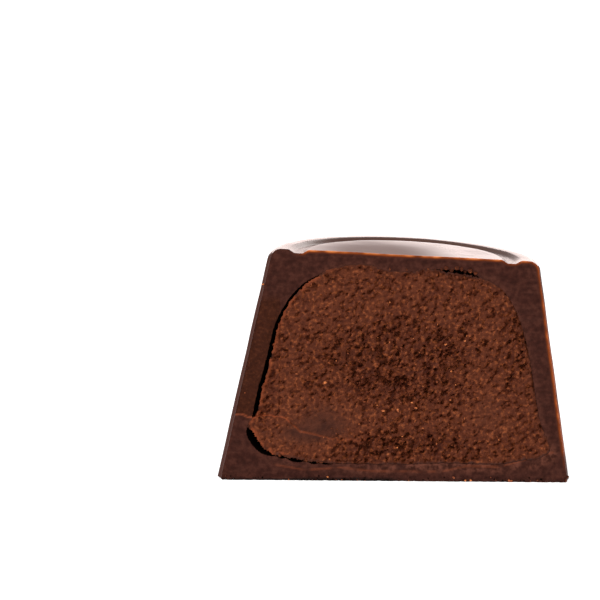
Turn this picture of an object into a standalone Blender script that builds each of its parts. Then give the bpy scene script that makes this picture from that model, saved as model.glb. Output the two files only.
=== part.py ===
"""Half of a moulded chocolate bonbon, standing on its foot with the cut towards -Y.

The bonbon is a fluted, tapering cup of chocolate, cast upside down in a mould. Its flat top has
one round groove. Inside is a crumbly truffle filling with rounded shoulders, closed off by the
foot. A knife has halved it through the middle, and the half leans a little to +X over its foot,
so the left flank is the taller one.

The two pieces are turned about the mould's axis, fluted, leaned and then cut. Lengths are in
metres, +Z is up, and the origin lies on the foot, under the middle of the half's box.
"""

import math

import bmesh
import bpy
from mathutils import Matrix, Vector, noise

MM = 0.001

# Driving sizes of the moulded cup
FOOT_RADIUS = 15.0 * MM
TOP_RADIUS = 11.35 * MM
HEIGHT = 19.3 * MM
LEAN = math.radians(2.6)

# Flutes round the flank
FLUTES = 42
FLUTE_DEPTH = 0.42 * MM
COLUMNS_PER_FLUTE = 5
RIDGE_SHARPNESS = 1.3

# Rounded edges and the groove in the top
RIM_ROUND = 1.2 * MM
FOOT_ROUND = 0.25 * MM
RING_RADIUS = 8.9 * MM
RING_WIDTH = 1.7 * MM
RING_DEPTH = 0.3 * MM
RING_SIDE = 0.3
RING_STEPS = 10

# Hollow that the filling sits in
HOLLOW_TOP = HEIGHT - 1.1 * MM
HOLLOW_BOTTOM = 1.5 * MM
HOLLOW_TOP_RADIUS = 9.0 * MM
HOLLOW_BOTTOM_RADIUS = 13.0 * MM
SHOULDER_ROUND = 4.3 * MM
HEEL_ROUND = 1.8 * MM
HOLLOW_COLUMNS = 48

# Clearance round the filling, wider where it has shrunk from the left wall
CLEARANCE = 0.3 * MM
SHRINK_GAP = 0.12 * MM

# Torn crumb on the cut face of the filling, and the low patch that the knife smeared smooth
CRUMB_SPACING = 0.5 * MM
CRUMB_DEPTH = 0.34 * MM
CRUMB_SIZE = 1.3 * MM
PATCH_SIZE = 6.0 * MM
SMEAR_CENTRE = Vector((-7.5 * MM, 3.6 * MM))
SMEAR_HALF_WIDTH = 6.0 * MM
SMEAR_HALF_HEIGHT = 2.4 * MM

# Everything that only cuts reaches this far past the bonbon
BEYOND = 6 * MM


def from_photo(red, green, blue):
    """A linear RGBA colour from the 0 to 255 values seen in daylight."""
    linear = []
    for value in (red, green, blue):
        share = value / 255
        linear.append(share / 12.92 if share <= 0.04045 else ((share + 0.055) / 1.055) ** 2.4)
    return (*linear, 1.0)


def material(name, colour, roughness):
    """A plain chocolate finish."""
    finish = bpy.data.materials.new(name)
    finish.use_nodes = True
    shader = finish.node_tree.nodes["Principled BSDF"]
    shader.inputs["Base Color"].default_value = colour
    shader.inputs["Roughness"].default_value = roughness
    shader.inputs["Metallic"].default_value = 0.0
    finish.diffuse_color = colour
    return finish


def fillet(before, corner, after, radius, steps):
    """Points of the arc that rounds a corner of a profile, from one tangent point to the other."""
    to_before = (before - corner).normalized()
    to_after = (after - corner).normalized()
    half = to_before.angle(to_after) / 2
    centre = corner + (to_before + to_after).normalized() * (radius / math.sin(half))
    start = corner + to_before * (radius / math.tan(half)) - centre
    end = corner + to_after * (radius / math.tan(half)) - centre
    sweep = start.angle_signed(end)
    return [centre + Matrix.Rotation(-sweep * i / steps, 2) @ start for i in range(steps + 1)]


def groove_depth(across):
    """Depth of the groove in the top at a share of its width, -0.5 to 0.5, with a flat bottom."""
    rise = min(1.0, (0.5 - abs(across)) / RING_SIDE)
    return RING_DEPTH * rise * rise * (3 - 2 * rise)


def cup_profile():
    """Outline of the moulded cup as (radius, height), from the foot's centre to the top's centre."""
    foot_centre, foot_edge = Vector((0, 0)), Vector((FOOT_RADIUS, 0))
    rim, top_centre = Vector((TOP_RADIUS, HEIGHT)), Vector((0, HEIGHT))
    points = [foot_centre]
    points += fillet(foot_centre, foot_edge, rim, FOOT_ROUND, 1)
    points += fillet(foot_edge, rim, top_centre, RIM_ROUND, 4)
    for step in range(RING_STEPS + 1):
        across = step / RING_STEPS - 0.5
        points.append(Vector((RING_RADIUS - RING_WIDTH * across, HEIGHT - groove_depth(across))))
    points.append(top_centre)
    return points


def hollow_profile(inset):
    """Outline of the hollow, drawn in by an inset, from its lowest to its highest point."""
    flank = Vector((HOLLOW_TOP_RADIUS - HOLLOW_BOTTOM_RADIUS, HOLLOW_TOP - HOLLOW_BOTTOM)).normalized()
    shift = inset / flank.y
    slope = flank.x / flank.y
    low, high = HOLLOW_BOTTOM + inset, HOLLOW_TOP - inset
    bottom = Vector((0, low))
    heel = Vector((HOLLOW_BOTTOM_RADIUS - shift + slope * inset, low))
    shoulder = Vector((HOLLOW_TOP_RADIUS - shift - slope * inset, high))
    top = Vector((0, high))
    points = [bottom]
    points += fillet(bottom, heel, shoulder, HEEL_ROUND - inset, 5)
    points += fillet(heel, shoulder, top, SHOULDER_ROUND - inset, 6)
    points.append(top)
    return points


def flute_depth(radius, height, angle):
    """How far the flank lies inside the ridges, with a furrow where the knife passes."""
    if radius < TOP_RADIUS - RIM_ROUND:
        return 0.0
    phase = angle * FLUTES / math.tau + 0.5
    furrow = abs(math.sin(math.pi * phase)) ** RIDGE_SHARPNESS
    fade = min(1.0, (HEIGHT - height) / RIM_ROUND)
    return FLUTE_DEPTH * furrow * fade * radius / FOOT_RADIUS


def shrinkage(angle):
    """Extra gap at the left wall, where the filling has come away from it."""
    return SHRINK_GAP * max(0.0, -math.cos(angle)) ** 2


def leaned(point):
    """Tips the upright cup to +X over a foot that stays level."""
    tip = math.tan(LEAN)
    return Vector((point.x + point.z * tip, point.y, point.z * (1 - point.x * tip / HEIGHT)))


def turned(name, profile, columns, inset):
    """A closed body turned from a profile. inset(radius, height, angle) draws its side in."""
    bm = bmesh.new()
    half_column = math.pi / columns
    start = Matrix.Rotation(half_column, 3, "Z")
    ring = [bm.verts.new(start @ Vector((point.x, 0, point.y))) for point in profile]
    edges = [bm.edges.new(pair) for pair in zip(ring, ring[1:])]
    bmesh.ops.spin(
        bm, geom=ring + edges, axis=(0, 0, 1), cent=(0, 0, 0), angle=math.tau, steps=columns, use_merge=True
    )
    bmesh.ops.remove_doubles(bm, verts=bm.verts, dist=0.001 * MM)
    for vertex in bm.verts:
        radius = math.hypot(vertex.co.x, vertex.co.y)
        if radius > 0.1 * MM:
            angle = math.atan2(vertex.co.y, vertex.co.x)
            share = 1 - inset(radius, vertex.co.z, angle) / radius
            vertex.co.x *= share
            vertex.co.y *= share
        vertex.co = leaned(vertex.co)
    bmesh.ops.recalc_face_normals(bm, faces=bm.faces)
    return object_from(bm, name)


def object_from(bm, name):
    """Puts a finished bmesh in the scene as a named object."""
    mesh = bpy.data.meshes.new(name)
    bm.to_mesh(mesh)
    bm.free()
    made = bpy.data.objects.new(name, mesh)
    bpy.context.scene.collection.objects.link(made)
    return made


def smear(x, z):
    """How strongly the knife smoothed the crumb here: 1 in the middle of the smear, 0 outside it."""
    across = (x - SMEAR_CENTRE.x) / SMEAR_HALF_WIDTH
    up = (z - SMEAR_CENTRE.y) / SMEAR_HALF_HEIGHT
    return min(1.0, 2 * max(0.0, 1 - math.hypot(across, up)))


def crumb_relief(x, z):
    """How far the torn crumb lies behind the cut at a point of the face, rougher in some patches."""
    patch = 0.5 + 0.5 * noise.noise(Vector((x, 7.0 * MM, z)) / PATCH_SIZE)
    coarse = 0.5 + 0.5 * noise.noise(Vector((x, 0, z)) / CRUMB_SIZE)
    fine = 0.5 + 0.5 * noise.noise(Vector((x, 3.0 * MM, z)) / (CRUMB_SIZE / 2))
    torn = (0.4 + 0.6 * patch) * (0.6 * coarse + 0.4 * fine)
    return CRUMB_DEPTH * torn * (1 - 0.8 * smear(x, z))


def crumb_block():
    """A block behind the cut whose near face is the torn crumb. The filling is what lies inside it."""
    across = 2 * FOOT_RADIUS
    columns = round(across / CRUMB_SPACING)
    rows = round(HEIGHT / CRUMB_SPACING)
    bm = bmesh.new()
    upright = Matrix.Translation((0, 0, HEIGHT / 2)) @ Matrix.Rotation(math.radians(90), 4, "X")
    upright = upright @ Matrix.Diagonal((across / 2, HEIGHT / 2, 1, 1))
    bmesh.ops.create_grid(bm, x_segments=columns, y_segments=rows, size=1, matrix=upright)
    front = bm.verts[:]
    pushed = bmesh.ops.extrude_face_region(bm, geom=bm.faces[:])
    back = [item for item in pushed["geom"] if isinstance(item, bmesh.types.BMVert)]
    bmesh.ops.translate(bm, verts=back, vec=(0, FOOT_RADIUS + BEYOND, 0))
    for vertex in front:
        vertex.co.y += crumb_relief(vertex.co.x, vertex.co.z)
    far_faces = [face for face in bm.faces if all(vertex in back for vertex in face.verts)]
    bmesh.ops.dissolve_faces(bm, faces=far_faces)
    bmesh.ops.recalc_face_normals(bm, faces=bm.faces)
    return object_from(bm, "crumb_block")


def knife():
    """A block that covers the half of the bonbon that is cut away."""
    bm = bmesh.new()
    reach = FOOT_RADIUS + BEYOND
    place = Matrix.Translation((0, -reach / 2, HEIGHT / 2)) @ Matrix.Diagonal((2 * reach, reach, 2 * reach, 1))
    bmesh.ops.create_cube(bm, size=1, matrix=place)
    return object_from(bm, "knife")


def carve(target, tool, operation):
    """A live Boolean on the target, with its tool kept out of the render."""
    modifier = target.modifiers.new(tool.name, "BOOLEAN")
    modifier.object = tool
    modifier.operation = operation
    modifier.solver = "EXACT"
    tool.display_type = "WIRE"
    tool.hide_render = True


def box_centre_of_half(cup):
    """Middle of the kept half's box on the foot, from the cup's ridges behind the cut."""
    kept = [vertex.co for vertex in cup.data.vertices if vertex.co.y > 0]
    left, right = min(point.x for point in kept), max(point.x for point in kept)
    return Vector(((left + right) / 2, max(point.y for point in kept) / 2, 0))


def build():
    """Makes the shell and the filling under one empty at the foot's middle."""
    for old in list(bpy.data.objects):
        bpy.data.objects.remove(old)

    chocolate = material("chocolate_shell", from_photo(73, 43, 35), 0.35)
    truffle = material("truffle_filling", from_photo(90, 46, 30), 0.8)

    shell = turned("shell", cup_profile(), FLUTES * COLUMNS_PER_FLUTE, flute_depth)
    hollow = turned("hollow", hollow_profile(0.0), HOLLOW_COLUMNS, lambda radius, height, angle: 0.0)
    filling = turned(
        "filling", hollow_profile(CLEARANCE), HOLLOW_COLUMNS, lambda radius, height, angle: shrinkage(angle)
    )
    shell.data.materials.append(chocolate)
    filling.data.materials.append(truffle)
    cut_away = knife()
    crumb = crumb_block()

    carve(shell, hollow, "DIFFERENCE")
    carve(shell, cut_away, "DIFFERENCE")
    carve(filling, crumb, "INTERSECT")

    bonbon = bpy.data.objects.new("bonbon", None)
    bpy.context.scene.collection.objects.link(bonbon)
    bonbon.location = -box_centre_of_half(shell)
    for piece in (shell, filling, hollow, cut_away, crumb):
        piece.parent = bonbon
    for piece in (shell, filling):
        piece.data.shade_smooth()
        piece.data.set_sharp_from_angle(angle=math.radians(40))


build()
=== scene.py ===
# %% [markdown]
# # Half of a chocolate bonbon
#
# The object is a moulded chocolate cup, fluted and tapering, that was filled with a crumbly truffle
# and halved with a knife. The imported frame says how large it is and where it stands. This lesson
# models the two pieces again with a much finer surface and leaves them exactly where they were.

# %% Load the fixed frame
import math
import random

import bmesh
import bpy
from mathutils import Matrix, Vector, noise
from mathutils.kdtree import KDTree


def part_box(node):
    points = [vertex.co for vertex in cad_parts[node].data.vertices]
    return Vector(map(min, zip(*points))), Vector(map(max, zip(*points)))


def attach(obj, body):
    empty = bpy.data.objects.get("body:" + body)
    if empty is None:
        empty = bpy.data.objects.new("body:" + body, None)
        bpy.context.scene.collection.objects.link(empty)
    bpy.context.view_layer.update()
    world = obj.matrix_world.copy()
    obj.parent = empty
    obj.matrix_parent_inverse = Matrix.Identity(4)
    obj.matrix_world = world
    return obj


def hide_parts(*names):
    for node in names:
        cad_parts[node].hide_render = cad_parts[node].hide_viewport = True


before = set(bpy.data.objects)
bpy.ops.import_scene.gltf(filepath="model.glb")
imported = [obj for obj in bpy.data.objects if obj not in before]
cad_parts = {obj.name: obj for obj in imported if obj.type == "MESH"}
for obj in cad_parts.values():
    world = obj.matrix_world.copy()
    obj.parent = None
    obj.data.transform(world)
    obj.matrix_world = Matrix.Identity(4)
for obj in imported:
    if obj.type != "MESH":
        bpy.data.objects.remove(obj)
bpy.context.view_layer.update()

MM = 0.001


def in_mm(sides):
    """Metres as rounded millimetres."""
    return [round(side / MM, 2) for side in sides]


shell_low, shell_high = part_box("shell")
filling_low, filling_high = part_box("filling")
print("shell:", in_mm(shell_high - shell_low), "filling:", in_mm(filling_high - filling_low))

# %% [markdown]
# ## Camera
#
# A small sweet is photographed from a little above with a long lens, which keeps the sides of the
# cut nearly parallel. The half stands right of the picture's middle, so the camera aims beside it.

# %% Aim the camera
CAMERA_DISTANCE = 300 * MM
CAMERA_TURN = math.radians(2.2)
CAMERA_RISE = math.radians(9.3)
LONG_LENS = 209.7
AIM = Vector((-8.19, 0, 14.21)) * MM

towards_camera = Vector((
    math.sin(CAMERA_TURN) * math.cos(CAMERA_RISE),
    -math.cos(CAMERA_TURN) * math.cos(CAMERA_RISE),
    math.sin(CAMERA_RISE),
))
bpy.ops.object.camera_add(
    location=AIM + towards_camera * CAMERA_DISTANCE,
    rotation=towards_camera.to_track_quat("Z", "Y").to_euler(),
)
camera = bpy.context.object
camera.data.lens = LONG_LENS
camera.data.clip_start = 10 * MM
bpy.context.scene.camera = camera
print("camera stands at", in_mm(camera.location), "mm")

# %% [markdown]
# ## Light
#
# A large soft light high on the left rakes over the cut and brings out the crumb, and a weak one in
# front softens its shadows. A wide low one behind is mirrored in the top as a pale sheen. A second
# one behind lights the groove, a warm one on the right grazes the first ridge, and a weak sky fills
# the rest.

# %% Hang the soft lights
SKY_STRENGTH = 0.42
# Each light is its name, its place, width and height in metres, its power in watts and its colour
LIGHTS = (
    ("key_light", (-0.46, -0.30, 0.74), 0.42, 0.42, 5.6, (1.0, 1.0, 1.0)),
    ("front_light", (0.25, -0.95, 0.30), 0.8, 0.5, 1.6, (1.0, 1.0, 1.0)),
    ("back_light", (0.14, 0.95, 0.17), 1.35, 0.33, 3.5, (1.0, 0.83, 0.79)),
    ("groove_light", (0.42, 0.80, 0.50), 0.6, 0.3, 1.6, (1.0, 0.93, 0.90)),
    ("edge_light", (0.97, -0.14, 0.20), 0.5, 0.35, 1.5, (1.0, 0.90, 0.78)),
)


def soft_light(name, place, width, height, power, colour):
    """A soft rectangular light that faces the bonbon and isn't seen itself."""
    facing = Vector(place).normalized().to_track_quat("Z", "Y").to_euler()
    bpy.ops.object.light_add(type="AREA", location=place, rotation=facing)
    light = bpy.context.object
    light.name = name
    light.data.shape = "RECTANGLE"
    light.data.size = width
    light.data.size_y = height
    light.data.energy = power
    light.data.color = colour
    light.visible_camera = False


for light in LIGHTS:
    soft_light(*light)
print("lights:", [light[0] for light in LIGHTS])

world = bpy.data.worlds.new("pale_sky")
world.use_nodes = True
world.node_tree.nodes["Background"].inputs["Color"].default_value = (1.0, 1.0, 1.0, 1.0)
world.node_tree.nodes["Background"].inputs["Strength"].default_value = SKY_STRENGTH
bpy.context.scene.world = world
bpy.context.scene.view_settings.view_transform = "Standard"

# %% [markdown]
# ## Colours and finishes
#
# Each finish is one Principled shader with a little noise in its colour, gloss and bump. Moulded
# chocolate has a satin gloss, and where the knife went through it is matte.

# %% Helpers for the finishes


def daylight(red, green, blue):
    """A linear RGBA colour from the 0 to 255 values seen in daylight."""
    linear = []
    for value in (red, green, blue):
        share = value / 255
        linear.append(share / 12.92 if share <= 0.04045 else ((share + 0.055) / 1.055) ** 2.4)
    return (*linear, 1.0)


class Finish:
    """A material with one Principled shader, and short ways to add nodes in front of it."""

    def __init__(self, name, roughness, specular):
        self.material = bpy.data.materials.new(name)
        self.material.use_nodes = True
        self.tree = self.material.node_tree
        self.shader = self.tree.nodes["Principled BSDF"]
        self.shader.inputs["Roughness"].default_value = roughness
        self.shader.inputs["Specular IOR Level"].default_value = specular
        self.place = self.tree.nodes.new("ShaderNodeTexCoord").outputs["Object"]

    def link(self, start, end):
        self.tree.links.new(start, end)

    def noise(self, size, detail=3.0, stretch=(1, 1, 1)):
        """Cloudy noise whose lumps are about size metres across, stretched along an axis."""
        mapping = self.tree.nodes.new("ShaderNodeMapping")
        mapping.inputs["Scale"].default_value = [1 / way for way in stretch]
        self.link(self.place, mapping.inputs["Vector"])
        cloud = self.tree.nodes.new("ShaderNodeTexNoise")
        cloud.inputs["Scale"].default_value = 1 / size
        cloud.inputs["Detail"].default_value = detail
        self.link(mapping.outputs["Vector"], cloud.inputs["Vector"])
        return cloud.outputs["Fac"]

    def stored(self, name):
        """A value stored on the mesh."""
        attribute = self.tree.nodes.new("ShaderNodeAttribute")
        attribute.attribute_name = name
        return attribute.outputs["Fac"]

    def ramp(self, value, *stops):
        """Colours that follow a value, as stops of a position and a daylight colour."""
        ramp = self.tree.nodes.new("ShaderNodeValToRGB")
        while len(ramp.color_ramp.elements) < len(stops):
            ramp.color_ramp.elements.new(0.5)
        for element, (position, colour) in zip(ramp.color_ramp.elements, stops):
            element.position = position
            element.color = daylight(*colour)
        self.link(value, ramp.inputs["Fac"])
        return ramp.outputs["Color"]

    def mix(self, share, first, second):
        """Two colours mixed by a share."""
        mixer = self.tree.nodes.new("ShaderNodeMix")
        mixer.data_type = "RGBA"
        sockets = mixer.inputs[0], mixer.inputs[6], mixer.inputs[7]
        for socket, value in zip(sockets, (share, first, second)):
            if isinstance(value, bpy.types.NodeSocket):
                self.link(value, socket)
            else:
                socket.default_value = value
        return mixer.outputs[2]

    def spread(self, value, low, high):
        """A value from 0 to 1 mapped to run from low to high."""
        span = self.tree.nodes.new("ShaderNodeMapRange")
        span.inputs["To Min"].default_value = low
        span.inputs["To Max"].default_value = high
        self.link(value, span.inputs["Value"])
        return span.outputs["Result"]

    def bump(self, value, depth):
        """Fine relief of a depth in metres."""
        bump = self.tree.nodes.new("ShaderNodeBump")
        bump.inputs["Distance"].default_value = depth
        bump.inputs["Strength"].default_value = 1.0
        self.link(value, bump.inputs["Height"])
        return bump.outputs["Normal"]

    def wear(self, colour=None, roughness=None, normal=None):
        """Puts the finished colour, roughness and relief on the shader."""
        for value, socket in ((colour, "Base Color"), (roughness, "Roughness"), (normal, "Normal")):
            if value:
                self.link(value, self.shader.inputs[socket])
        return self.material


# %% [markdown]
# The moulded face is nearly even in colour. What the eye reads as satin is a roughness of about a
# quarter that drifts a little from place to place, and more where fingers and knife dulled the top.
# Next to the cut the wall is thin enough for light to come through, and that light is painted into
# the colour as a warm brown glow where the mesh says so. The first ridge behind the cut is the
# thinnest and has a finish of its own, coloured only by that painted glow.

# %% Moulded chocolate
DULLED_ROUGHNESS = 0.54
# The painted glow: colours that stand in for light coming through the chocolate,
# from none to the thinnest edge
PAINTED_GLOW = (
    (0.0, (70, 36, 27)), (0.35, (84, 36, 16)),
    (0.7, (142, 66, 26)), (1.0, (206, 118, 62)),
)
moulded = Finish("moulded_chocolate", 0.26, 0.5)
moulded_colour = moulded.ramp(moulded.noise(5 * MM), (0.3, (74, 44, 34)), (0.7, (86, 54, 43)))
moulded_colour = moulded.mix(moulded.stored("dull"), moulded_colour, daylight(90, 57, 48))
moulded_glow = moulded.stored("painted_glow")
# Painted glow: light through the thin wall, painted into the colour
moulded_colour = moulded.mix(moulded_glow, moulded_colour, moulded.ramp(moulded_glow, *PAINTED_GLOW))
satin = moulded.spread(moulded.noise(2.5 * MM), 0.20, 0.30)
moulded_gloss = moulded.mix(moulded.stored("dull"), satin, (*[DULLED_ROUGHNESS] * 3, 1.0))
moulded_relief = moulded.bump(moulded.noise(0.9 * MM), 0.012 * MM)
moulded.wear(moulded_colour, moulded_gloss, moulded_relief)

# The first ridge is coloured only by the painted glow
painted_glow_edge = Finish("painted_glow_edge", 0.55, 0.05)
painted_glow_edge.wear(painted_glow_edge.ramp(painted_glow_edge.stored("painted_glow"), *PAINTED_GLOW))

# %% [markdown]
# The knife leaves the chocolate matte, mottled and faintly streaked along its travel. Above the step
# where the knife stopped and went on, the old cut has a deeper tone. Next to the filling some
# of the truffle is smeared over it, with a pale edge, and the lowest edge of the foot is painted dark
# as shade. The wall inside the crack gets hardly any light, so it has a near-black finish of painted
# shade.

# %% Cut chocolate
STREAK_SHARE = 0.22
FULL_GLOW = 0.3
cut = Finish("cut_chocolate", 0.6, 0.06)
cut_clouds = cut.ramp(
    cut.noise(0.42 * MM, detail=6.0), (0.34, (46, 19, 13)), (0.5, (58, 27, 20)),
    (0.66, (73, 38, 29))
)
cut_streaks = cut.ramp(
    cut.noise(0.3 * MM, stretch=(6, 1, 1)), (0.5, (52, 24, 16)), (0.8, (96, 58, 46))
)
old_cut_colour = cut.ramp(
    cut.noise(0.2 * MM, detail=4.0), (0.35, (50, 19, 5)), (0.55, (61, 26, 9)),
    (0.75, (84, 42, 22))
)
cut_colour = cut.mix(STREAK_SHARE, cut_clouds, cut_streaks)
cut_colour = cut.mix(cut.stored("old_cut"), cut_colour, old_cut_colour)
cut_smear = cut.ramp(cut.noise(0.4 * MM), (0.38, (52, 23, 14)), (0.62, (98, 55, 42)))
cut_colour = cut.mix(cut.stored("smeared"), cut_colour, cut_smear)
# Painted highlight on the step's edge, and a paler line under the smear
cut_colour = cut.mix(cut.stored("pale_edge_and_highlight"), cut_colour, daylight(132, 66, 40))
# Painted glow along the thin outer edge of the cut
cut_glow = cut.stored("painted_glow")
cut_glow_share = cut.ramp(cut_glow, (0.0, (0, 0, 0)), (FULL_GLOW, (255, 255, 255)))
cut_colour = cut.mix(cut_glow_share, cut_colour, cut.ramp(cut_glow, *PAINTED_GLOW))
# Painted shade on the lowest edge of the foot, where it meets the table
cut_colour = cut.mix(cut.stored("foot_shade"), cut_colour, daylight(16, 7, 5))
cut_relief = cut.bump(cut.noise(0.4 * MM, detail=4.0), 0.12 * MM)
cut.wear(cut_colour, cut.spread(cut.noise(1.2 * MM), 0.50, 0.66), cut_relief)

# Near-black painted shade for the wall inside the crack, the inside of the cup and dark foot crumbs
painted_shade = Finish("painted_shade", 0.8, 0.02)
painted_shade.shader.inputs["Base Color"].default_value = daylight(14, 5, 2)

# %% [markdown]
# The truffle is torn. Its pits are darker and redder, partly because light has to come out through
# more cocoa and partly as painted shade, and its crests are painted paler as a highlight. The depth
# stored on the mesh drives that, and fine noise at the size of the cocoa grains breaks it up. Where
# the blade pressed it smooth it is darker and even.

# %% Truffle and its loose crumbs
GRAIN_SHARE = 0.47
DRIFT_SHARE = 0.18
truffle = Finish("truffle_crumb", 0.55, 0.09)
# Painted shade in the pits and a painted highlight on the crests, by the stored depth
truffle_shade_by_depth = truffle.ramp(
    truffle.stored("pit"),
    (0.0, (80, 36, 18)), (0.12, (106, 52, 29)), (0.3, (98, 45, 23)),
    (0.55, (74, 28, 11)), (0.9, (40, 10, 3)),
)
truffle_grain = truffle.ramp(
    truffle.noise(0.30 * MM), (0.36, (42, 14, 5)), (0.48, (76, 34, 18)),
    (0.575, (107, 55, 31)), (0.68, (180, 99, 55))
)
truffle_drift = truffle.ramp(truffle.noise(2.2 * MM), (0.35, (62, 25, 14)), (0.65, (98, 49, 26)))
truffle_smooth = truffle.ramp(
    truffle.noise(0.7 * MM, detail=5.0), (0.35, (58, 27, 17)), (0.65, (80, 40, 26))
)
truffle_colour = truffle.mix(GRAIN_SHARE, truffle_shade_by_depth, truffle_grain)
truffle_colour = truffle.mix(DRIFT_SHARE, truffle_colour, truffle_drift)
truffle_colour = truffle.mix(truffle.stored("smooth"), truffle_colour, truffle_smooth)
truffle_colour = truffle.mix(truffle.stored("near_wall"), truffle_colour, daylight(60, 29, 20))
# Painted highlight on the step's edge and on the truffle's rim along the crack
truffle_colour = truffle.mix(truffle.stored("pale_edge_and_highlight"), truffle_colour, daylight(140, 68, 38))
truffle_relief = truffle.bump(truffle.noise(0.28 * MM), 0.06 * MM)
truffle.wear(truffle_colour, None, truffle_relief)

crumbs = Finish("loose_crumb", 0.6, 0.2)
crumbs_colour = crumbs.ramp(
    crumbs.noise(0.6 * MM, detail=1.0), (0.40, (82, 36, 18)), (0.52, (132, 64, 34)),
    (0.62, (212, 124, 70))
)
crumbs.wear(crumbs_colour, None, crumbs.bump(crumbs.noise(0.1 * MM), 0.03 * MM))
finishes = (moulded, painted_glow_edge, cut, painted_shade, truffle, crumbs)
print("finishes:", [finish.material.name for finish in finishes])

# %% [markdown]
# ## Working by hand in code
#
# Most pieces start as a primitive and are shaped in edit mode. An operator acts on whatever is
# selected, so small helpers pick an object, select its corners by place and change what is selected.

# %% Helpers for modelling


def pick_nothing():
    bpy.ops.object.select_all(action="DESELECT")


def pick(piece):
    """Makes a piece the only selected and the active one."""
    pick_nothing()
    piece.select_set(True)
    bpy.context.view_layer.objects.active = piece
    return piece


def edit(piece, kind="VERT"):
    """Opens a piece in edit mode, picking by corners, edges or faces."""
    pick(piece)
    bpy.ops.object.mode_set(mode="EDIT")
    bpy.ops.mesh.select_mode(type=kind)


def close():
    bpy.ops.object.mode_set(mode="OBJECT")


def extrude(x, y, z):
    """Extrudes what is selected and moves it."""
    bpy.ops.mesh.extrude_region_move(TRANSFORM_OT_translate={"value": (x, y, z)})


def resize(x, y, z, about=(0, 0, 0)):
    """Resizes what is selected along the three axes, about a point."""
    bpy.ops.transform.resize(value=(x, y, z), center_override=about)


def select_corners(piece, wanted):
    """In edit mode, selects the corners whose place passes a test, and says how many."""
    mesh = bmesh.from_edit_mesh(piece.data)
    for corner in mesh.verts:
        corner.select = wanted(corner.co)
    mesh.select_flush_mode()
    bmesh.update_edit_mesh(piece.data)
    return sum(corner.select for corner in mesh.verts)


def apply(piece, kind, **settings):
    """Adds a modifier to a piece, sets it up and applies it."""
    pick(piece)
    modifier = piece.modifiers.new(kind.lower(), kind)
    for name, value in settings.items():
        setattr(modifier, name, value)
    bpy.ops.object.modifier_apply(modifier=modifier.name)


def carve(piece, tool, operation):
    """Joins, cuts or crosses a piece with a closed tool."""
    apply(piece, "BOOLEAN", object=tool, operation=operation, solver="MANIFOLD")
    print(piece.name, operation.lower(), tool.name, "leaves", len(piece.data.polygons), "faces")


def face_outwards(piece):
    edit(piece, "FACE")
    bpy.ops.mesh.select_all(action="SELECT")
    bpy.ops.mesh.normals_make_consistent(inside=False)
    close()


# %% [markdown]
# ## The moulded cup
#
# The cup is modelled whole, round the mould's axis, and halved later, as the real one was. It starts
# as a round outline. The furrows are drawn in one column of corners at a time, by resizing those
# corners towards the axis. The ridge beside the right end of the cut is flatter, so it is pressed in
# the same way. Extruding and resizing the outline then carries the flutes up the flank.

# %% Driving sizes, the same as those of the frame
FOOT_RADIUS = 15.0 * MM
TOP_RADIUS = 11.35 * MM
HEIGHT = 19.3 * MM
LEAN = math.radians(2.6)
FLUTES = 42
FLUTE_DEPTH = 0.42 * MM
COLUMNS_PER_FLUTE = 10
NEAR_COLUMN = 0.2 / COLUMNS_PER_FLUTE
RIDGE_SHARPNESS = 1.3
FOOT_ROUND = 0.12 * MM
RIM_ROUND = 1.2 * MM
CUT_Y = shell_low.y

# %% Draw the fluted outline of the foot
half_column = math.pi / (FLUTES * COLUMNS_PER_FLUTE)
pick_nothing()
bpy.ops.mesh.primitive_circle_add(
    vertices=FLUTES * COLUMNS_PER_FLUTE, radius=FOOT_RADIUS,
    fill_type="NGON", rotation=(0, 0, half_column),
)
shell = bpy.context.object
shell.name = "moulded_shell"
bpy.ops.object.transform_apply(location=False, rotation=True, scale=False)


def across_flute(point):
    """Where a point lies across its flute: 0 on a ridge and 0.5 in the middle of a furrow."""
    across = (math.atan2(point.y, point.x) * FLUTES / math.tau + 0.5) % 1
    return min(across, 1 - across)


edit(shell)
for column in range(COLUMNS_PER_FLUTE // 2):
    share = (column + 0.5) / COLUMNS_PER_FLUTE
    found = select_corners(shell, lambda point: abs(across_flute(point) - share) < NEAR_COLUMN)
    furrow = FLUTE_DEPTH * math.sin(math.pi * share) ** RIDGE_SHARPNESS
    drawn_in = 1 - furrow / FOOT_RADIUS
    resize(drawn_in, drawn_in, 1)
    print(found, "corners drawn in by", round(furrow / MM, 3), "mm")

# %% Press the ridge beside the right end of the cut in
PRESSED_IN = 0.2 * MM


def flutes_round(point):
    """The angle of a point round the axis from +X, in flutes."""
    return math.atan2(point.y, point.x) * FLUTES / math.tau


for column in range(COLUMNS_PER_FLUTE):
    share = (column + 0.5) / COLUMNS_PER_FLUTE
    select_corners(shell, lambda point: abs(flutes_round(point) - share) < NEAR_COLUMN)
    drawn_in = 1 - PRESSED_IN * math.sin(math.pi * share) ** 2 / FOOT_RADIUS
    resize(drawn_in, drawn_in, 1)
print("first ridge pressed in by", PRESSED_IN / MM, "mm")

# %% Raise the flank


def selected_radius(piece):
    """The largest distance of the selected corners from the axis."""
    mesh = bmesh.from_edit_mesh(piece.data)
    return max(corner.co.xy.length for corner in mesh.verts if corner.select)


def grow(piece, climb, radius, roundness=0.0):
    """Extrudes the selected face upwards and brings its ridges to a radius."""
    extrude(0, 0, climb)
    if roundness:
        bpy.ops.transform.tosphere(value=roundness)
    fit = radius / selected_radius(piece)
    resize(fit, fit, 1)


FLANK_RINGS = 46
draft = math.atan((FOOT_RADIUS - TOP_RADIUS) / HEIGHT)
rim_turn = math.pi / 2 - draft
rim_reach = RIM_ROUND * math.tan(rim_turn / 2)
flank_top = HEIGHT - rim_reach * math.cos(draft)

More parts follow.
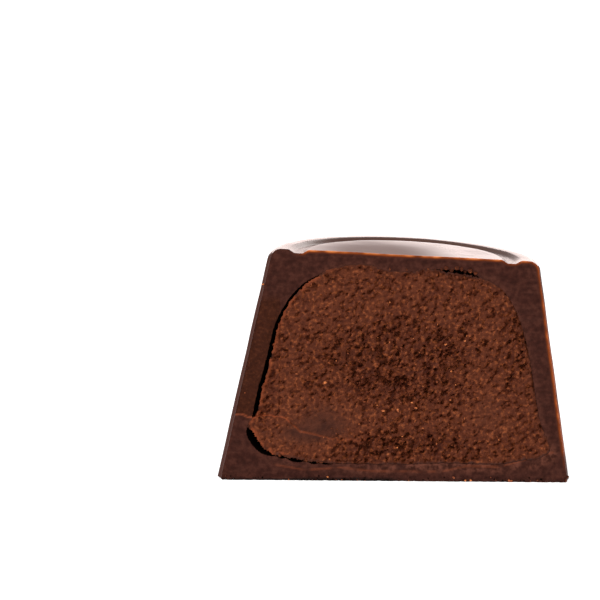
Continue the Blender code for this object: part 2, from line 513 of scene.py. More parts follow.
bpy.ops.mesh.select_all(action="SELECT")
first = 1 - FOOT_ROUND / FOOT_RADIUS
resize(first, first, 1)
grow(shell, FOOT_ROUND, FOOT_RADIUS - FOOT_ROUND * math.tan(draft))
for ring in range(FLANK_RINGS):
    climb = (flank_top - FOOT_ROUND) / FLANK_RINGS
    height = FOOT_ROUND + climb * (ring + 1)
    grow(shell, climb, FOOT_RADIUS - height * math.tan(draft))
print("flank reaches", in_mm([flank_top]), "mm at a draft of", round(math.degrees(draft), 1), "degrees")

# %% [markdown]
# The rim turns over in a quarter round. The flutes die out there: the To Sphere operator evens out
# the radius of the ring, at each step by a larger share of what is left. Then the flat top runs
# inwards, dips through the round groove and closes at the middle.

# %% Turn the rim over
RIM_STEPS = 8
rim_centre_radius = TOP_RADIUS - rim_reach
rim_centre_height = HEIGHT - RIM_ROUND
last_height = flank_top
for step in range(1, RIM_STEPS + 1):
    turn = draft + rim_turn * step / RIM_STEPS
    height = rim_centre_height + RIM_ROUND * math.sin(turn)
    radius = rim_centre_radius + RIM_ROUND * math.cos(turn)
    grow(shell, height - last_height, radius, roundness=1 / (RIM_STEPS - step + 1))
    last_height = height

# %% Sink the groove and close the top
RING_RADIUS = 8.9 * MM
RING_WIDTH = 1.8 * MM
RING_DEPTH = 0.30 * MM
RING_SIDE = 0.36
RING_STEPS = 24
TOP_RINGS = 18


def groove_depth(across):
    """Depth of the groove at a share of its width, -0.5 to 0.5, with a flat bottom."""
    share = min(1.0, (0.5 - abs(across)) / RING_SIDE)
    return RING_DEPTH * share * share * (3 - 2 * share)


outer_edge = RING_RADIUS + RING_WIDTH / 2
grow(shell, 0, (rim_centre_radius + outer_edge) / 2)
for step in range(RING_STEPS + 1):
    across = step / RING_STEPS - 0.5
    before = max(-0.5, across - 1 / RING_STEPS)
    grow(shell, groove_depth(before) - groove_depth(across), RING_RADIUS - RING_WIDTH * across)
inner_edge = RING_RADIUS - RING_WIDTH / 2
for ring in range(1, TOP_RINGS):
    grow(shell, 0, inner_edge * (1 - ring / TOP_RINGS))
bpy.ops.mesh.merge(type="CENTER")
close()
face_outwards(shell)
print("whole cup has", len(shell.data.polygons), "faces")

# %% [markdown]
# A cast face is never perfectly even, so a weak cloud displacement makes it drift. Then the cup is
# leaned: a lattice of eight corners tips the top over a foot that stays level.

# %% Soften the casting
CASTING_LUMPS = 3.5 * MM
CASTING_DRIFT = 0.07 * MM


def cloud(name, size, depth=1, basis="BLENDER_ORIGINAL"):
    """A cloudy texture for displacement, with lumps of a given size in metres."""
    texture = bpy.data.textures.new(name, "CLOUDS")
    texture.noise_scale = size
    texture.noise_depth = depth
    texture.noise_basis = basis
    return texture


apply(
    shell, "DISPLACE", texture=cloud("casting", CASTING_LUMPS), texture_coords="LOCAL",
    strength=CASTING_DRIFT,
)

# %% Lean the cup
def leaned(point):
    """Tips an upright point to +X over a level foot."""
    tip = math.tan(LEAN)
    return Vector((point.x + point.z * tip, point.y, point.z * (1 - point.x * tip / HEIGHT)))


def lean(piece):
    """Leans a piece with a lattice whose eight corners are moved as leaned() says."""
    reach = Vector((FOOT_RADIUS + MM, FOOT_RADIUS + MM, HEIGHT / 2 + MM))
    pick_nothing()
    bpy.ops.object.add(type="LATTICE", location=(0, 0, HEIGHT / 2))
    cage = bpy.context.object
    cage.scale = reach * 2
    for way in ("u", "v", "w"):
        setattr(cage.data, "points_" + way, 2)
        setattr(cage.data, "interpolation_type_" + way, "KEY_LINEAR")
    bpy.context.view_layer.update()
    for corner in cage.data.points:
        place = cage.matrix_world @ corner.co
        corner.co_deform = cage.matrix_world.inverted() @ leaned(place)
    apply(piece, "LATTICE", object=cage)
    bpy.data.objects.remove(cage)


lean(shell)
print("leaned cup is", in_mm(shell.dimensions), "mm")

# %% [markdown]
# ## The knife
#
# Crossing a body with a block whose front face is a fine grid halves it and leaves that grid on the
# cut. The grid for the truffle is as fine as its crumb.

# %% Make a gridded block


def knife_block(name, spacing):
    """A block behind the cut whose front face is a grid of a given spacing."""
    width, height = 2 * FOOT_RADIUS + 2 * MM, HEIGHT + 3 * MM
    pick_nothing()
    bpy.ops.mesh.primitive_grid_add(
        x_subdivisions=round(width / spacing), y_subdivisions=round(height / spacing), size=1,
        location=(0, 0, HEIGHT / 2), rotation=(math.pi / 2, 0, 0),
    )
    block = bpy.context.object
    block.name = name
    block.scale = (width, height, 1)
    bpy.ops.object.transform_apply()
    edit(block, "FACE")
    bpy.ops.mesh.select_all(action="SELECT")
    extrude(0, FOOT_RADIUS + 3 * MM, 0)
    close()
    face_outwards(block)
    return block


SHELL_GRID = 0.115 * MM
FILLING_GRID = 0.07 * MM
HAIR = 0.01 * MM
shell_block = knife_block("shell_block", SHELL_GRID)
carve(shell, shell_block, "INTERSECT")
bpy.data.objects.remove(shell_block)


def edge_of_cut(piece):
    """The corners round the cut face of a piece, in a tree that finds the nearest one."""
    mesh = bmesh.new()
    mesh.from_mesh(piece.data)
    mesh.normal_update()
    border = [
        corner.co.copy() for corner in mesh.verts
        if abs(corner.co.y) < HAIR and any(face.normal.y > -0.9 for face in corner.link_faces)
    ]
    mesh.free()
    tree = KDTree(len(border))
    for index, place in enumerate(border):
        tree.insert(place, index)
    tree.balance()
    return tree


def distance_to(edge, place):
    """How far a place is from the nearest corner of an edge, in millimetres."""
    return edge.find(place)[2] / MM


outer_edge_of_cut = edge_of_cut(shell)

# %% [markdown]
# ## The hollow and the filling
#
# The cut shows the outline of the filling: a tall arch with rounded shoulders. It has shrunk away
# from the left wall and at its top right. One list of points gives that outline, with the width of
# the gap at each point. A smooth curve through the points, moved out by half the gap, is the hollow.
# Moved in by half, it is the filling.

# %% Draw the outline of the filling
# Each point is (x, z, gap) in millimetres, from the bottom middle up the left side and round
OUTLINE = (
    (0.0, 1.42, -0.06), (-4.9, 1.44, -0.03), (-5.8, 1.47, 0.16), (-6.2, 1.50, 0.03), (-6.7, 1.54, 0.26),
    (-7.4, 1.61, 0.02), (-8.0, 1.70, 0.26), (-8.6, 1.80, 0.30), (-9.1, 1.92, 0.06), (-9.5, 2.02, 0.30),
    (-9.9, 2.08, 0.06), (-10.56, 2.27, 0.34),
    (-11.1, 2.58, 0.52), (-11.5, 3.0, 0.62), (-11.9, 3.55, 0.64),
    (-12.2, 4.15, 0.52), (-12.35, 4.5, 0.06),
    (-12.3, 4.85, -0.04), (-12.0, 5.25, -0.04), (-11.75, 5.6, 0.30), (-11.35, 7.45, 0.36),
    (-10.9, 9.1, 0.36), (-10.45, 10.9, 0.36), (-10.2, 12.0, 0.34), (-9.95, 13.0, 0.32),
    (-9.25, 14.6, 0.27), (-8.15, 16.2, 0.21), (-7.2, 17.0, 0.17), (-6.4, 17.5, 0.07),
    (-5.3, 18.1, -0.04), (-3.5, 18.5, -0.06), (-2.0, 18.5, -0.06), (-1.1, 18.1, -0.06),
    (1.5, 17.95, -0.04), (2.9, 18.15, -0.04), (4.0, 17.98, 0.16), (5.2, 17.90, 0.34),
    (6.4, 17.70, 0.28), (7.1, 17.45, 0.03), (7.7, 17.25, -0.04), (8.8, 16.6, -0.04), (9.7, 15.5, -0.04),
    (10.3, 14.3, -0.03), (10.95, 12.3, -0.02), (11.35, 10.5, -0.02), (11.7, 8.5, -0.02),
    (12.0, 6.6, -0.03), (12.4, 4.9, -0.05), (12.95, 3.6, -0.06), (13.15, 2.8, -0.06),
    (12.5, 2.15, -0.06), (10.8, 1.8, -0.06), (8.8, 1.5, -0.06), (4.7, 1.55, -0.06),
)


def outline_curve(name, side):
    """The smooth outline, moved out by half the gap where side is 1, and in where it is -1."""
    curve = bpy.data.curves.new(name, "CURVE")
    curve.dimensions = "2D"
    curve.resolution_u = 9
    spline = curve.splines.new("BEZIER")
    spline.bezier_points.add(len(OUTLINE) - 1)
    spline.use_cyclic_u = True
    for index, knot in enumerate(spline.bezier_points):
        before, here, after = (OUTLINE[(index + step) % len(OUTLINE)] for step in (-1, 0, 1))
        along = Vector((after[0] - before[0], after[1] - before[1])).normalized()
        outwards = Vector((-along.y, along.x))
        place = Vector(here[:2]) + outwards * (side * here[2] / 2)
        knot.co = (place.x * MM, place.y * MM, 0)
        knot.handle_left_type = knot.handle_right_type = "AUTO"
    made = bpy.data.objects.new(name, curve)
    bpy.context.scene.collection.objects.link(made)
    made.rotation_euler = (math.pi / 2, 0, 0)
    return made


# %% [markdown]
# The outline is filled, drawn out a little in front of the cut, and then extruded backwards in
# steps, each one narrower by the rule of a circle.

# %% Extrude the hollow and the filling
DEPTH_STEPS = 10
HOLLOW_DEPTH = 10.7 * MM
IN_FRONT = 1.5 * MM
SHOULDER_FALL = 0.03
NARROWS_TO = (0.3 * MM, 0, HEIGHT / 2)


def arch(name, side, raggedness):
    """A closed body with the outline of the filling that gets narrower towards the back."""
    body = outline_curve(name, side)
    pick(body)
    bpy.ops.object.convert(target="MESH")
    body = bpy.context.object
    bpy.ops.object.transform_apply()
    edit(body)
    bpy.ops.mesh.select_all(action="SELECT")
    bpy.ops.mesh.remove_doubles(threshold=HAIR)
    bpy.ops.transform.vertex_random(offset=raggedness, seed=3)
    bpy.ops.mesh.edge_face_add()
    bpy.ops.transform.translate(value=(0, -IN_FRONT, 0))
    extrude(0, IN_FRONT, 0)
    narrowed = 1.0
    for step in range(1, DEPTH_STEPS + 1):
        depth = math.sin(math.pi / 2 * step / (DEPTH_STEPS + 1))
        back = HOLLOW_DEPTH * (depth - math.sin(math.pi / 2 * (step - 1) / (DEPTH_STEPS + 1)))
        width = math.sqrt(1 - depth ** 2)
        extrude(0, back, 0)
        resize(width / narrowed, 1, 1 - SHOULDER_FALL * depth ** 4, about=NARROWS_TO)
        narrowed = width
    close()
    face_outwards(body)
    return body


hollow = arch("hollow", 1, raggedness=0.05 * MM)
filling = arch("truffle_filling", -1, raggedness=0.15 * MM)
carve(shell, hollow, "DIFFERENCE")
bpy.data.objects.remove(hollow)

filling_block = knife_block("filling_block", FILLING_GRID)
carve(filling, filling_block, "INTERSECT")
bpy.data.objects.remove(filling_block)
edge_of_filling = edge_of_cut(filling)

# %% [markdown]
# ## Marks of the knife
#
# Painted weights say where the surface is rough or sunk, and displacement pushes those corners back.
# The knife stopped once on its way down, which left a step across the left side: what lies above is
# sunk a little. Small rules of rise, fall and drift give each mark soft and broken edges.

# %% Helpers for painted relief


def smooth_step(value):
    """0 below 0, 1 above 1 and a smooth rise between."""
    value = min(1.0, max(0.0, value))
    return value * value * (3 - 2 * value)


def rise(value, start, over):
    """0 up to a start, then a smooth rise to 1 over some length."""
    return smooth_step((value - start) / over)


def fall(value, end, over):
    """A smooth fall from 1, over some length, to 0 at an end."""
    return smooth_step((end - value) / over)


def near(away, reach, core):
    """1 close by, falling smoothly to 0 about a reach away. The core is the share that stays 1."""
    return smooth_step(1 + core - away / reach)


def drift(x, z, fineness, layer):
    """Smooth random values between about -1 and 1."""
    return noise.noise((fineness * x, layer, fineness * z))


def cut_place(point):
    """Where a point lies on the cut, in millimetres."""
    return point.x / MM, point.z / MM


def on_cut(corner):
    return corner.co.y < HAIR


def paint(piece, name, weight):
    """Paints a vertex group on the cut face by a rule that takes x and z in millimetres."""
    group = piece.vertex_groups.new(name=name)
    painted = 0
    for corner in piece.data.vertices:
        if on_cut(corner):
            share = weight(*cut_place(corner.co))
            if share > 0:
                group.add([corner.index], share, "REPLACE")
                painted += 1
    print(painted, "corners of", piece.name, "painted as", name)


def store(piece, name, value_at):
    """Stores a value on every corner for the material, by a rule that takes the corner."""
    attribute = piece.data.attributes.new(name, "FLOAT", "POINT")
    attribute.data.foreach_set("value", [value_at(corner) for corner in piece.data.vertices])


def press(piece, group, depth, texture=None, guide=None):
    """Displaces the painted corners backwards, along +Y, by a texture or all alike."""
    apply(
        piece, "DISPLACE", texture=texture, direction="Y", vertex_group=group, strength=depth,
        mid_level=0.0, texture_coords="OBJECT" if guide else "LOCAL", texture_coords_object=guide,
    )


# %% Draw the step
# The step as (x, z) in millimetres, from the left edge inwards, and its sizes in millimetres
STEP_LINE = (
    (-13.25, 5.66), (-11.57, 5.40), (-11.06, 5.57), (-9.12, 5.31), (-8.70, 4.88),
    (-7.86, 4.20), (-6.85, 3.94), (-5.75, 3.68), (-4.91, 3.51), (-1.79, 3.51),
)
STEP_DEPTH = 0.15 * MM
STEP_EDGE = 0.1
STEP_WAVER = 0.14
WALL_STEP_TOP = 16.2
FILLING_STEP_REACH = 3.2
STEP_END = -2.4
INNER_SIDE = -9.6
OLD_CUT_TONE = 0.75


def above_line(line, x, z):
    """Height in millimetres above a line that is straight between its points."""
    before, after = line[0], line[1]
    for start, end in zip(line, line[1:]):
        if x >= start[0]:
            before, after = start, end
    share = (x - before[0]) / (after[0] - before[0])
    return z - before[1] - share * (after[1] - before[1])


def above_step(x, z):
    """Height in millimetres above the step, which wavers a little."""
    return above_line(STEP_LINE, x, z) + STEP_WAVER * drift(x, z, fineness=1.6, layer=0)


def sunk(x, z):
    """How far a place is sunk behind the step, from 0 to 1."""
    height = above_step(x, z)
    if x < INNER_SIDE:
        fade = fall(z, end=WALL_STEP_TOP, over=1.2)
    else:
        fade = smooth_step(1 - height / FILLING_STEP_REACH) * fall(x, end=STEP_END, over=2.5)
    return smooth_step(height / STEP_EDGE + 0.5) * fade


def old_cut(corner):
    """How deep the tone of the older cut is, on the left above the step."""
    x, z = cut_place(corner.co)
    return OLD_CUT_TONE * sunk(x, z) * fall(x, end=-8.5, over=1.5) if on_cut(corner) else 0.0


store(shell, "old_cut", old_cut)
for piece in (shell, filling):
    paint(piece, "sunk", sunk)

# %% [markdown]
# Three thin and broken edges are paler: the step's and the truffle's along the crack are painted
# highlights where those edges face the light, and that of the smear under the filling is paler too.

# %% Store the pale edges and painted highlights
LIP_LIES_BELOW = 0.02
RIM_END = -5
RIM_BOTTOM = 2.2
RIM_PALENESS = 0.8
# The lower edge of the smear under the filling, as (x, z) in millimetres
SMEAR_LINE = (
    (-10.3, 1.40), (-7.5, 0.90), (-4.5, 1.15), (-2.0, 0.86),
    (4.0, 0.86), (6.1, 1.35), (8.85, 1.30), (13.4, 2.60),
)
SMEAR_PALENESS = 0.38


def pale_edge_and_highlight(corner):
    """1 on the edge of the step, which is painted pale as a highlight."""
    x, z = cut_place(corner.co)
    if not on_cut(corner) or x > STEP_END:
        return 0.0
    broken = smooth_step(0.9 + 1.2 * drift(x, z, fineness=2.5, layer=7))
    fade = 0.45 + 0.55 * fall(x, end=-7.0, over=2)
    return broken * fade * near(abs(above_step(x, z) + LIP_LIES_BELOW), reach=0.10, core=0.1)


def crack_rim(corner):
    """1 on the edge of the truffle along the crack, in broken patches, painted pale as a highlight."""
    x, z = cut_place(corner.co)
    if x > RIM_END or z < RIM_BOTTOM or corner.co.y > 0.5 * MM:
        return 0.0
    away = distance_to(edge_of_filling, (corner.co.x, 0, corner.co.z))
    broken = smooth_step(0.8 + 1.8 * drift(x, z, fineness=1.9, layer=3))
    return broken * near(away, reach=0.30, core=0.2)


def smear_edge(corner):
    """How pale the shell is along the lower edge of the smear."""
    x, z = cut_place(corner.co)
    if not on_cut(corner) or not SMEAR_LINE[0][0] < x < SMEAR_LINE[-1][0]:
        return 0.0
    broken = smooth_step(0.8 + 1.2 * drift(x, z, fineness=1.7, layer=8))
    return SMEAR_PALENESS * broken * near(abs(above_line(SMEAR_LINE, x, z)), reach=0.13, core=0.1)


store(shell, "pale_edge_and_highlight", lambda corner: max(pale_edge_and_highlight(corner), smear_edge(corner)))
store(filling, "pale_edge_and_highlight", lambda corner: max(pale_edge_and_highlight(corner), RIM_PALENESS * crack_rim(corner)))

# %% [markdown]
# ## The torn crumb
#
# The knife tore the truffle from the lower left to the upper right. Broad clouds give the swells,
# rounded cells with sharp creases are the crumb, and clouds cut off by a colour ramp leave pits. An
# empty turned across the cut carries the textures, so that lumps and pits run along the tear.

# %% Paint where the crumb is torn
# Each patch is (x, z, half width, half height) in millimetres, and how much rougher it is
ROUGH_PATCHES = (
    (0.2, 10.0, 10.0, 6.0, 0.40),
    (0.5, 3.0, 12.0, 2.0, 0.30),
    (10.0, 11.0, 2.0, 6.0, 0.20),
    (-7.2, 14.6, 3.4, 3.6, -0.06),
    (-6.4, 3.9, 6.0, 2.4, -0.30),
    (-5.4, 6.1, 5.0, 1.8, -0.15),
    (7.8, 6.1, 3.6, 4.4, -0.12),
)
PATCH_GAIN = 1.6
PLAIN_ROUGHNESS = 0.62
LEAST_ROUGHNESS = 0.15
CALM_WALL = 0.35


def soft_patch(x, z, patch):
    """1 in the middle of an oval patch, falling smoothly to 0 at its edge."""
    return smooth_step(1 - math.hypot((x - patch[0]) / patch[2], (z - patch[1]) / patch[3]))


def torn(x, z):
    """How rough the crumb is at a place on the cut."""
    strength = PLAIN_ROUGHNESS
    strength += sum(PATCH_GAIN * patch[4] * soft_patch(x, z, patch) for patch in ROUGH_PATCHES)
    inside = distance_to(edge_of_filling, (x * MM, 0, z * MM))
    crumbling = rise(x, start=8, over=2) * rise(z, start=3, over=2)
    calm = smooth_step(0.2 + inside / CALM_WALL)
    return min(1.0, max(LEAST_ROUGHNESS, strength)) * (calm + (1 - calm) * crumbling)


def off_the_edge(x, z):
    """0 on the outer edge of the cut and 1 inside."""
    return rise(distance_to(outer_edge_of_cut, (x * MM, 0, z * MM)), start=0, over=0.4)


paint(filling, "cut", lambda x, z: 1.0)
paint(filling, "torn", torn)
paint(shell, "cut", off_the_edge)
paint(shell, "chipped", lambda x, z: fall(z, end=0.9, over=0.6))

# %% Push the crumb in
TEAR_TURN = math.radians(40)
TEAR_STRETCH = 1.35
# Each layer is its name, depth and lump size in millimetres, the levels of its pits, and its noise
CRUMB_LAYERS = (
    ("crumb_creases", 0.32, 0.38, 0.16, 0.64, "VORONOI_F1"),
    ("pits", 0.32, 0.38, 0.52, 0.74, "BLENDER_ORIGINAL"),
    ("holes", 0.14, 0.70, 0.58, 0.74, "BLENDER_ORIGINAL"),
)

pick_nothing()
bpy.ops.object.empty_add(rotation=(0, -TEAR_TURN, 0))
tear = bpy.context.object
tear.scale = (TEAR_STRETCH, 1, 1)
bpy.context.view_layer.update()


def pitted(name, size, start, full, basis="BLENDER_ORIGINAL"):
    """A cloudy texture cut off between two levels, so that it leaves pits."""
    texture = cloud(name, size, depth=2, basis=basis)
    texture.use_color_ramp = True
    low, high = texture.color_ramp.elements
    low.position, low.color = start, (0, 0, 0, 1)
    high.position, high.color = full, (1, 1, 1, 1)
    return texture


def depths(piece):
    """How far back each corner lies."""
    return [corner.co.y for corner in piece.data.vertices]


press(filling, "cut", depth=0.16 * MM, texture=cloud("swell", 3.0 * MM))
for piece in (shell, filling):
    press(piece, "sunk", STEP_DEPTH)
ground = depths(filling)
for name, depth, size, start, full, basis in CRUMB_LAYERS:
    press(filling, "torn", depth * MM, pitted(name, size * MM, start, full, basis), tear)
press(filling, "torn", depth=0.05 * MM, texture=cloud("grain", 0.16 * MM))
press(shell, "cut", depth=0.06 * MM, texture=cloud("cut_lumps", 0.34 * MM, depth=2))
press(shell, "chipped", depth=0.12 * MM, texture=pitted("chips", 0.5 * MM, start=0.46, full=0.66))
bpy.data.objects.remove(tear)

# %% [markdown]
# A few marks stand out: the gouges to the right of the middle, some single scratches, and short dark
# dashes under the top. Each is a stroke with two ends.

# %% Press the gouges in
# Each stroke is (x, z) of its two ends, its width and its depth, in millimetres
STROKES = (
    (2.33, 4.37, 2.92, 3.51, 0.22, 0.45), (2.84, 4.54, 3.60, 3.68, 0.20, 0.40),
    (3.26, 4.20, 3.77, 3.86, 0.18, 0.35), (2.25, 2.66, 3.26, 2.40, 0.20, 0.35),
    (-8.6, 4.82, -8.4, 4.78, 0.22, 0.35), (-7.5, 4.15, -7.3, 4.12, 0.20, 0.30),
    (-1.2, 18.02, 0.3, 17.94, 0.16, 0.35), (0.7, 17.96, 1.5, 17.92, 0.14, 0.30),
    (2.0, 17.75, 2.8, 17.80, 0.18, 0.30), (6.9, 6.6, 7.6, 7.3, 0.16, 0.25),
    (-4.2, 4.9, -3.4, 5.3, 0.14, 0.25), (-1.4, 3.1, -0.8, 3.5, 0.16, 0.25),
)


def stroke_depth(x, z):
    """The depth in millimetres that the deepest stroke has at a place."""
    deepest = 0.0
    for left, bottom, right, top, width, depth in STROKES:
        run = Vector((right - left, top - bottom))
        away = Vector((x - left, z - bottom))
        share = min(1.0, max(0.0, away.dot(run) / run.length_squared))
        deepest = max(deepest, depth * smooth_step(1.5 - 2 * (away - run * share).length / width))
    return deepest


paint(filling, "strokes", stroke_depth)
press(filling, "strokes", MM)

# %% [markdown]
# The material should know how deep each corner lies below the ground around it, where the truffle
# sticks to the wall and where the knife smeared it over the shell. The lowest edge of the cut lies in
# its own shadow, most on the left, and that shadow is painted into its colour.

# %% Store the depths and the smears for the materials
DEEPEST = 0.62 * MM
SMOOTH_BELOW = 0.56
SMOOTH_FADE = 0.35
STUCK_SHARE = 0.75
SMEAR_WIDTH = 0.34
SMEAR_WIDENS = 0.5


def near_wall(corner):
    """How dark the truffle is where it sticks to the wall, falling to 0 a little inside."""
    stuck = rise(corner.co.x / MM, start=-6.5, over=1.5)
    beside = near(distance_to(edge_of_filling, corner.co), reach=0.30, core=0.3)
    return STUCK_SHARE * stuck * beside if corner.co.y < MM else 0.0


def smeared(corner):
    """How much truffle is smeared on the shell: most under the filling, little at its sides."""
    x, z = cut_place(corner.co)
    if corner.co.y > MM:
        return 0.0
    under = fall(z, end=3.4, over=1.0)
    amount = 0.35 + 0.65 * under * rise(x, start=-5, over=3)
    patchy = smooth_step(0.9 + 1.4 * drift(x, z, fineness=0.8, layer=9))
    reach = SMEAR_WIDTH + SMEAR_WIDENS * under
    return amount * patchy * near(distance_to(edge_of_filling, corner.co), reach, core=0.3)


def foot_shade(corner):
    """How much painted shade darkens the lowest edge of the cut, which lies in its own shadow."""
    x, z = cut_place(corner.co)
    if corner.co.y > MM:
        return 0.0
    amount = 0.2 + 0.75 * fall(x, end=1.0, over=1.5)
    thick = 0.13 + 0.11 * rise(x, start=-9, over=1.5)
    broken = 0.7 * drift(x, 0, fineness=1.4, layer=4)
    return amount * smooth_step(1.5 + broken - z / thick)


levels = zip(depths(filling), ground)
pit_values = iter([min(1.0, max(0.0, (deep - level) / DEEPEST)) for deep, level in levels])
store(filling, "pit", lambda corner: next(pit_values))
store(filling, "smooth", lambda corner: fall(torn(*cut_place(corner.co)), SMOOTH_BELOW, SMOOTH_FADE))
store(filling, "near_wall", near_wall)
store(shell, "smeared", smeared)
store(shell, "foot_shade", foot_shade)

# %% [markdown]
# Light that comes through the thin wall near the shell's outer edge is painted into its colour as a
# glow: strongly at the top and on the right, hardly at the left and the foot.

# %% Store the painted glow of light through the edges
CUT_GLOW_REACH = 0.30
RIGHT_GLOW = 0.8
LEAST_GLOW = 0.08
FLANK_GLOW = 0.74
RIDGE_TURN = math.tau / FLUTES / 2


def upright_x(place):
    """The x that a place had before the cup was leaned."""
    return place.x - place.z * math.tan(LEAN)


def turn_from_cut(place):
    """Angle round the axis from the cut, as a share of the way to the crest of the first ridge."""
    return math.atan2(place.y, abs(upright_x(place))) / RIDGE_TURN


def painted_glow(corner):
    """How much painted glow stands for light that comes through the shell near its cut."""
    x, z = cut_place(corner.co)
    right = rise(x, start=8, over=3) * rise(z, start=0.3, over=3)
    if corner.co.y < STEP_DEPTH:
        patchy = 0.85 + 0.5 * drift(x, z, fineness=1.3, layer=5)
        top = rise(z, start=18, over=1.0) * rise(x, start=-9.2, over=2.5) * fall(x, end=13, over=5)
        strength = max(RIGHT_GLOW * right, top, LEAST_GLOW)
        away = distance_to(outer_edge_of_cut, corner.co)
        return patchy * strength * near(away, CUT_GLOW_REACH, core=0.1)
    fade = 0.45 + 0.55 * fall(z, end=17, over=4)
    broken = 0.85 + 0.4 * drift(6, z, fineness=0.5, layer=1)
    return FLANK_GLOW * broken * right * fade * smooth_step(2.2 - 1.7 * turn_from_cut(corner.co))


store(shell, "painted_glow", painted_glow)

# %% Store where the top is dulled
# The patch as (x, y, half width, half depth) in millimetres
DULL_PATCH = (-1.35, 0.8, 7.75, 9.0)
DULL_GAIN = 1.3
TOP_STARTS = HEIGHT / MM - 1


def dull(corner):
    """How much the top has lost its gloss."""
    x, y, z = corner.co / MM
    return min(1.0, DULL_GAIN * soft_patch(x, y, DULL_PATCH)) if z >= TOP_STARTS else 0.0


store(shell, "dull", dull)

# %% Give each face of the shell its finish
THIN_EDGE_END = 1.08
THINNEST_WALL = 0.5 * MM
CUT_RELIEF = 0.2 * MM
MOULDED, CUT, THIN, HOLLOW = range(4)


def inside_cup(place):
    """Whether a place lies deeper than the thinnest wall under the moulded face."""
    reach = FOOT_RADIUS - place.z * math.tan(draft) - THINNEST_WALL - FLUTE_DEPTH
    top = (HEIGHT - THINNEST_WALL) * (1 - upright_x(place) * math.tan(LEAN) / HEIGHT)
    return math.hypot(upright_x(place), place.y) < reach and THINNEST_WALL < place.z < top


def finish_shell():
    """Gives each face of the shell a finish by where it lies and faces."""
    mesh = shell.data
    mesh.materials.clear()
    for finish in (moulded, cut, painted_glow_edge, painted_shade):
        mesh.materials.append(finish.material)
    for face in mesh.polygons:
        face.material_index = MOULDED
        deepest = max(mesh.vertices[index].co.y for index in face.vertices)
        if face.normal.y < -0.5 and deepest < STEP_DEPTH + CUT_RELIEF:
            face.material_index = CUT
        # Faces inside the cup take the near-black painted shade
        elif inside_cup(face.center):
            face.material_index = HOLLOW
        elif turn_from_cut(face.center) < THIN_EDGE_END and abs(face.normal.z) < 0.5:
            face.material_index = THIN
    used = [face.material_index for face in mesh.polygons]
    print("faces moulded, cut, thin and hollow:", [used.count(index) for index in range(4)])


finish_shell()
filling.data.materials.clear()
filling.data.materials.append(truffle.material)

# %% Smooth shading
SHARP_ANGLE = math.radians(40)

for piece in (shell, filling):
    pick(piece)
    bpy.ops.object.shade_smooth_by_angle(angle=SHARP_ANGLE)

# %% [markdown]
# ## Loose crumbs
#
# The bright crumbs on the truffle and the brown ones in the void are placed one by one, and finer dust
# is strewn by chance. Each is a small ball with its corners shaken, set on the surface there.

# %% Strew the crumbs
# Each crumb is (x, z, size) in millimetres
BRIGHT_CRUMBS = (
    (-7.2, 11.8, 0.26), (-5.8, 8.4, 0.26), (-0.9, 6.0, 0.28), (0.3, 6.0, 0.30), (2.0, 7.2, 0.28),
    (1.8, 6.25, 0.26), (4.7, 6.95, 0.26), (5.2, 17.45, 0.36), (6.3, 17.25, 0.26), (-6.4, 1.6, 0.28),
    (-8.2, 9.1, 0.2), (-11.0, 7.4, 0.2), (-7.0, 16.8, 0.18), (-5.9, 3.7, 0.18), (-11.0, 16.7, 0.18),
    (1.5, 6.7, 0.2), (3.2, 9.5, 0.2), (4.4, 11.4, 0.18), (3.3, 2.9, 0.24), (2.6, 3.9, 0.2),
    (3.6, 3.2, 0.2), (-4.0, 9.9, 0.18), (9.7, 0.15, 0.2), (11.5, 0.1, 0.16), (-14.2, 0.3, 0.18),
)
BROWN_CRUMBS = (
    (3.4, 18.05, 0.26), (3.9, 18.1, 0.26), (4.3, 18.22, 0.30), (4.75, 18.02, 0.42), (5.2, 18.2, 0.30),
    (5.6, 18.15, 0.32), (5.9, 17.9, 0.40), (6.3, 18.0, 0.30), (6.75, 17.78, 0.32), (5.8, 17.45, 0.32),
    (4.6, 17.5, 0.30), (2.8, 18.1, 0.24), (2.2, 17.95, 0.24), (1.0, 18.05, 0.22), (-0.4, 18.1, 0.24),
    (-9.6, 2.15, 0.26), (-7.4, 1.7, 0.26), (-6.1, 1.55, 0.24), (14.62, 0.45, 0.30), (14.5, 0.2, 0.26),
)
# Dust and foot crumbs: how many, where, and their least and largest size
DUST, FOOT_CRUMBS = 150, 120
DUST_MIDDLE, DUST_SPREAD = (0.5, 8.0), (5.0, 4.2)
DUST_LOWEST, DUST_HIGHEST = 1.8, 17.0
FOOT_ENDS, FOOT_HEIGHT = (-14.4, 14.2), 0.4
DUST_SIZES, FOOT_SIZES = (0.08, 0.18), (0.08, 0.20)
# Half the foot crumbs take the near-black painted shade, a painted contact shadow along the foot
FOOT_FINISHES = (crumbs, cut, cut, painted_shade, painted_shade, painted_shade)
# How far a crumb lies out and how far its corners are shaken, as shares of its size
LIES_AT = 0.1
SHAKE = 0.22
SQUASH = (0.6, 1.4)
DEEPEST_CRUMB = 0.3 * MM
chance = random.Random(11)


def surface_at(x, z):
    """Depth of the nearest surface behind a place on the cut, or nothing."""
    start, back = Vector((x * MM, -2 * MM, z * MM)), Vector((0, 1, 0))
    found = [piece.ray_cast(start, back) for piece in (shell, filling)]
    depths_found = [place.y for hit, place, normal, face in found if hit]
    return min(depths_found) if depths_found else 0.0


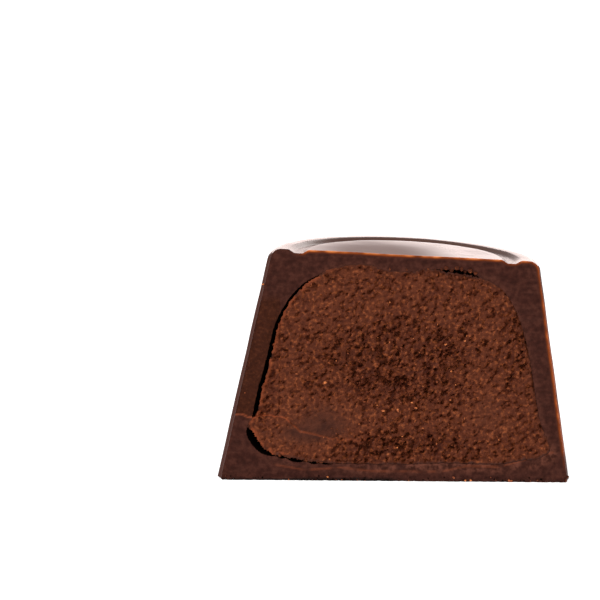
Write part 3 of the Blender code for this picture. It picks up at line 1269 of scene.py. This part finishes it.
def crumb(x, z, size, finish, fineness=1):
    """A small shaken ball of a given size in millimetres on the cut, and never under the floor."""
    depth = min(surface_at(x, z), DEEPEST_CRUMB)
    place = (x * MM, depth - LIES_AT * size * MM, max(z, 0.5 * size) * MM)
    bpy.ops.mesh.primitive_ico_sphere_add(subdivisions=fineness, radius=size * MM / 2, location=place)
    bpy.ops.object.mode_set(mode="EDIT")
    bpy.ops.transform.vertex_random(offset=SHAKE * size * MM, seed=chance.randrange(10000))
    squash = [chance.uniform(*SQUASH) for _ in range(3)]
    bpy.ops.transform.resize(value=squash)
    close()
    ball = bpy.context.object
    ball.location.z = max(ball.location.z, -min(corner.co.z for corner in ball.data.vertices))
    ball.data.materials.append(finish.material)
    return ball


made = [crumb(*spot, crumbs, 2) for spot in BRIGHT_CRUMBS]
made += [crumb(*spot, truffle, 2) for spot in BROWN_CRUMBS]
for _ in range(DUST):
    x, z = (chance.gauss(middle, spread) for middle, spread in zip(DUST_MIDDLE, DUST_SPREAD))
    z = min(DUST_HIGHEST, max(DUST_LOWEST, z))
    size = chance.uniform(*DUST_SIZES)
    made.append(crumb(x, z, size, chance.choice((crumbs, truffle))))
for _ in range(FOOT_CRUMBS):
    x, z = chance.uniform(*FOOT_ENDS), chance.random() ** 3 * FOOT_HEIGHT
    size = chance.uniform(*FOOT_SIZES)
    made.append(crumb(x, z, size, chance.choice(FOOT_FINISHES)))
pick_nothing()
for piece in made:
    piece.select_set(True)
bpy.context.view_layer.objects.active = made[0]
bpy.ops.object.join()
loose = bpy.context.object
loose.name = "loose_crumbs"
bpy.ops.object.transform_apply()
bpy.ops.object.shade_smooth()
print(len(made), "crumbs joined")

# %% [markdown]
# ## Floor
#
# The bonbon stands on a plain pale table top, large enough to reach past the picture on all sides.

# %% Lay the floor
pick_nothing()
bpy.ops.mesh.primitive_plane_add(size=6)
floor = bpy.context.object
floor.name = "floor"
pale = Finish("pale_floor", 0.9, 0.0)
pale.shader.inputs["Base Color"].default_value = (0.5, 0.5, 0.5, 1.0)
pale.shader.inputs["Emission Color"].default_value = (1.0, 1.0, 1.0, 1.0)
pale.shader.inputs["Emission Strength"].default_value = 0.85
floor.data.materials.append(pale.material)

# %% [markdown]
# ## Hand the pieces over
#
# Each piece moves from the mould's axis to its place in the frame, and its place goes into its mesh.

# %% Place the pieces and hide the frame's parts they replace
for piece, node, slot in (
    (shell, "shell", "moulded_chocolate"), (filling, "filling", "truffle"), (loose, None, "truffle"),
):
    pick(piece)
    piece.location.y = CUT_Y
    bpy.ops.object.transform_apply()
    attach(piece, "root")
    if node:
        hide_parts(node)
    triangles = sum(len(face.vertices) - 2 for face in piece.data.polygons)
    print(piece.name, "has", triangles, "triangles")
